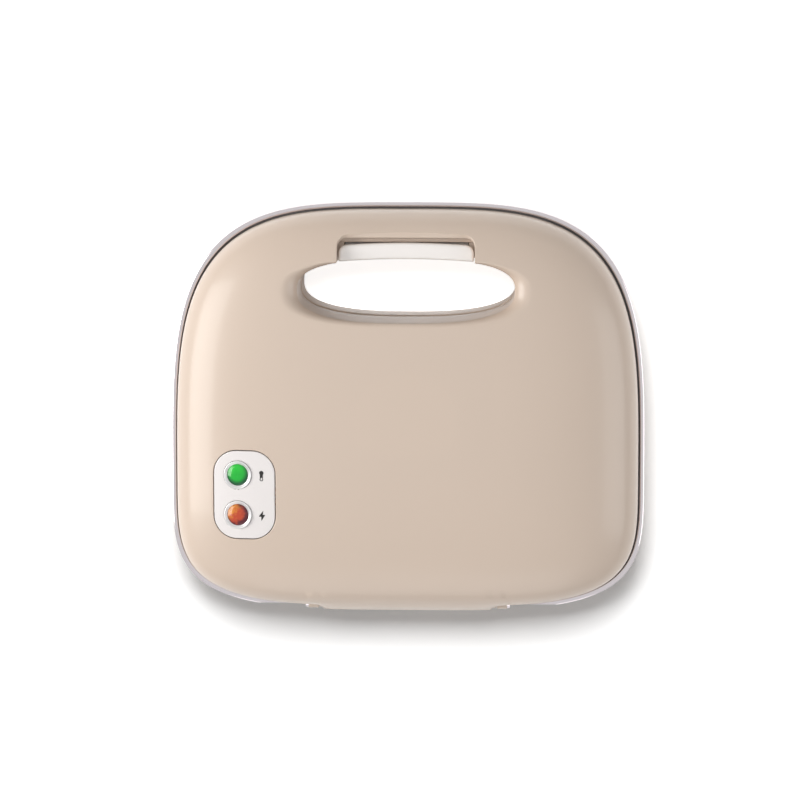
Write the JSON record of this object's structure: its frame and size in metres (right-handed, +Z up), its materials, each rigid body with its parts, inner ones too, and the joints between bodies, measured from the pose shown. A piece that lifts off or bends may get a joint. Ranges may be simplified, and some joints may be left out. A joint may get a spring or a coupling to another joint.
{
  "type": "sandwich toaster",
  "caption": "Sandwich toaster: pillow-shaped halves hinged at the back, a hand hole through the front edge, a squeeze latch, indicator lamps, and hot plates with triangular pockets.",
  "frame": {"origin": "middle of the bounding box's bottom face, on the table under the closed toaster", "axes": "+X to the right as seen from the hand hole, +Y back towards the hinge, +Z up"},
  "size_m": [0.265, 0.2298, 0.084],
  "materials": {
    "body_shell": "satin",
    "trim": "polished",
    "plate_frame": "matte",
    "cooking_plate": "dark non-stick coating",
    "element": "plain",
    "reflector": "bright",
    "earth": "plain",
    "rubber": "matte",
    "dark_plastic": "matte",
    "insulation": "matte",
    "ivory_plastic": "gloss",
    "green_lens": "translucent gloss",
    "amber_lens": "translucent gloss",
    "lamp_glass": "clear"
  },
  "bodies": {
    "base": {"base_shell": "body_shell", "base_trim_ring": "trim", "lower_plate_frame": "plate_frame", "lower_plate": "cooking_plate", "lower_heating_element": "element", "lower_reflector": "reflector", "lower_element_clamps": "element", "thermostat": "dark_plastic", "thermal_fuse": "element", "terminal_block": "ivory_plastic", "earth_tag": "earth", "base_wiring": "insulation", "cord_gland": "rubber", "rubber_feet": "rubber", "base_screws": "element", "base_hinge_bracket": "body_shell", "hinge_pins": "element", "latch_keeper": "element"},
    "lid": {"lid_shell": "body_shell", "lid_trim_ring": "trim", "upper_plate_frame": "plate_frame", "upper_plate": "cooking_plate", "upper_heating_element": "element", "upper_reflector": "reflector", "upper_element_clamps": "element", "lid_hinge_barrel": "body_shell", "indicator_panel": "ivory_plastic", "green_lens": "green_lens", "amber_lens": "amber_lens", "green_bezel": "trim", "amber_bezel": "trim", "neon_lamps": "lamp_glass", "lamp_holder": "dark_plastic", "lid_screws": "element", "lid_wiring": "insulation", "latch_brackets": "dark_plastic", "latch_pivot_pin": "element", "latch_spring": "element"},
    "latch": {"latch_lever": "ivory_plastic"}
  },
  "joints": [
    {"name": "lid_hinge", "type": "hinge", "parent": "base", "child": "lid", "pos_m": [0, 0.1114, 0.0415], "axis": [-1, 0, 0], "range_deg": [0, 100]},
    {"name": "latch_pivot", "type": "hinge", "parent": "lid", "child": "latch", "pos_m": [0, -0.0905, 0.05673], "axis": [1, 0, 0], "range_deg": [-6.5, 8], "stiffness_Nm_per_rad": 0.1, "springref_deg": -17.19}
  ]
}
